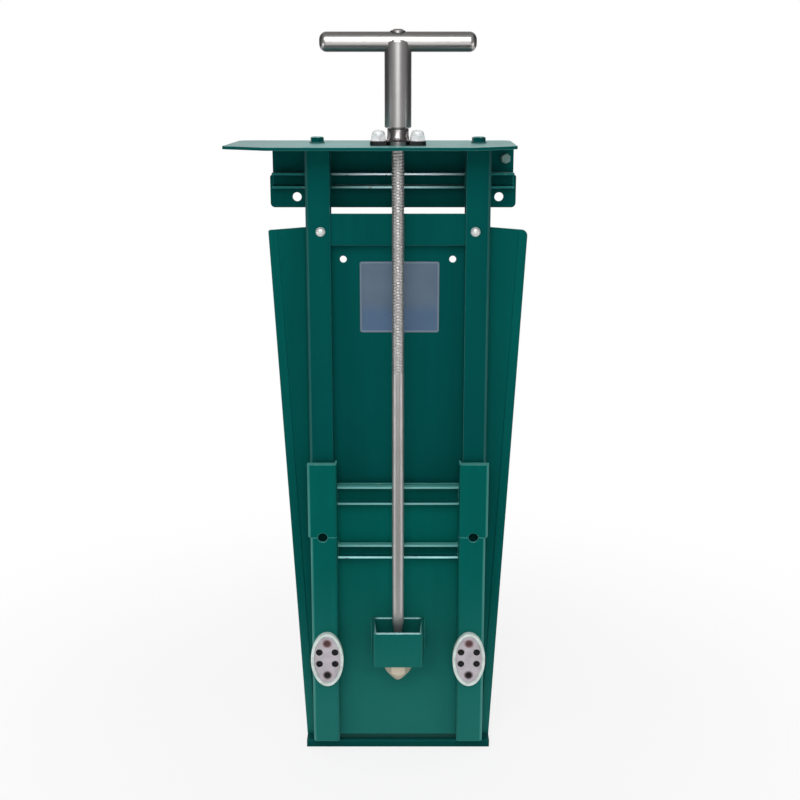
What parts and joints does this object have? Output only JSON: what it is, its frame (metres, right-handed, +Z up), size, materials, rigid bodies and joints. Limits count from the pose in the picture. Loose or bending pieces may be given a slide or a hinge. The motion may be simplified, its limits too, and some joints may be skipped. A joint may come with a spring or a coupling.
{
  "type": "sluice gate",
  "caption": "Small painted steel channel gate: tapered side wings, folded guides, a ribbed sliding leaf and a rising screw spindle with a T handle through a deck plate.",
  "frame": {"origin": "middle of the sill's flat underside, midway between the guides and midway through their depth", "axes": "+Z up along the spindle's travel, +X to the right across the waterway, +Y through the gate to its back; the handle and leaf ribs face -Y"},
  "size_m": [0.3884, 0.147, 0.9962],
  "materials": {
    "green_paint": "deep green gloss paint on steel sheet",
    "stainless": "drawn stainless bar, satin",
    "name_plate_metal": "matt etched plate",
    "black_iron": "blackened, oiled",
    "seal_rubber": "moulded strip",
    "pale_casting": "pale grey casting"
  },
  "bodies": {
    "frame": {"left_guide": "green_paint", "right_guide": "green_paint", "left_wing": "green_paint", "right_wing": "green_paint", "sill": "green_paint", "breast_panel": "green_paint", "name_plate": "name_plate_metal", "cross_plate": "green_paint", "left_cross_bolt": "stainless", "right_cross_bolt": "stainless", "top_beam": "green_paint", "beam_channel": "green_paint", "beam_bolt": "stainless", "deck_plate": "green_paint", "left_deck_bolt": "green_paint", "right_deck_bolt": "green_paint", "spindle_nut": "stainless", "nut_keeper": "black_iron", "left_nut_bolt": "stainless", "right_nut_bolt": "stainless"},
    "leaf": {"leaf_plate": "green_paint", "bottom_seal": "seal_rubber", "top_rib": "green_paint", "lower_rib": "green_paint", "left_stile_upper": "green_paint", "right_stile_upper": "green_paint", "left_stile_lower": "green_paint", "right_stile_lower": "green_paint", "left_oval_pad": "pale_casting", "right_oval_pad": "pale_casting", "spindle_bracket": "green_paint"},
    "spindle": {"spindle_rod": "stainless", "thrust_collar": "stainless", "foot_nut": "stainless", "handle_tube": "stainless", "handle_bar": "stainless"}
  },
  "joints": [
    {"name": "leaf_lift", "type": "slide", "parent": "frame", "child": "leaf", "axis": [0, 0, 1], "range_m": [0, 0.29]},
    {"name": "spindle_turn", "type": "hinge", "parent": "leaf", "child": "spindle", "pos_m": [0, -0.042, 0.5], "axis": [0, 0, 1], "range_deg": [-10, 26110]}
  ],
  "couplings": [
    {"joint": "spindle_turn", "follows": "leaf_lift", "rad_per_m": 1570.8}
  ]
}
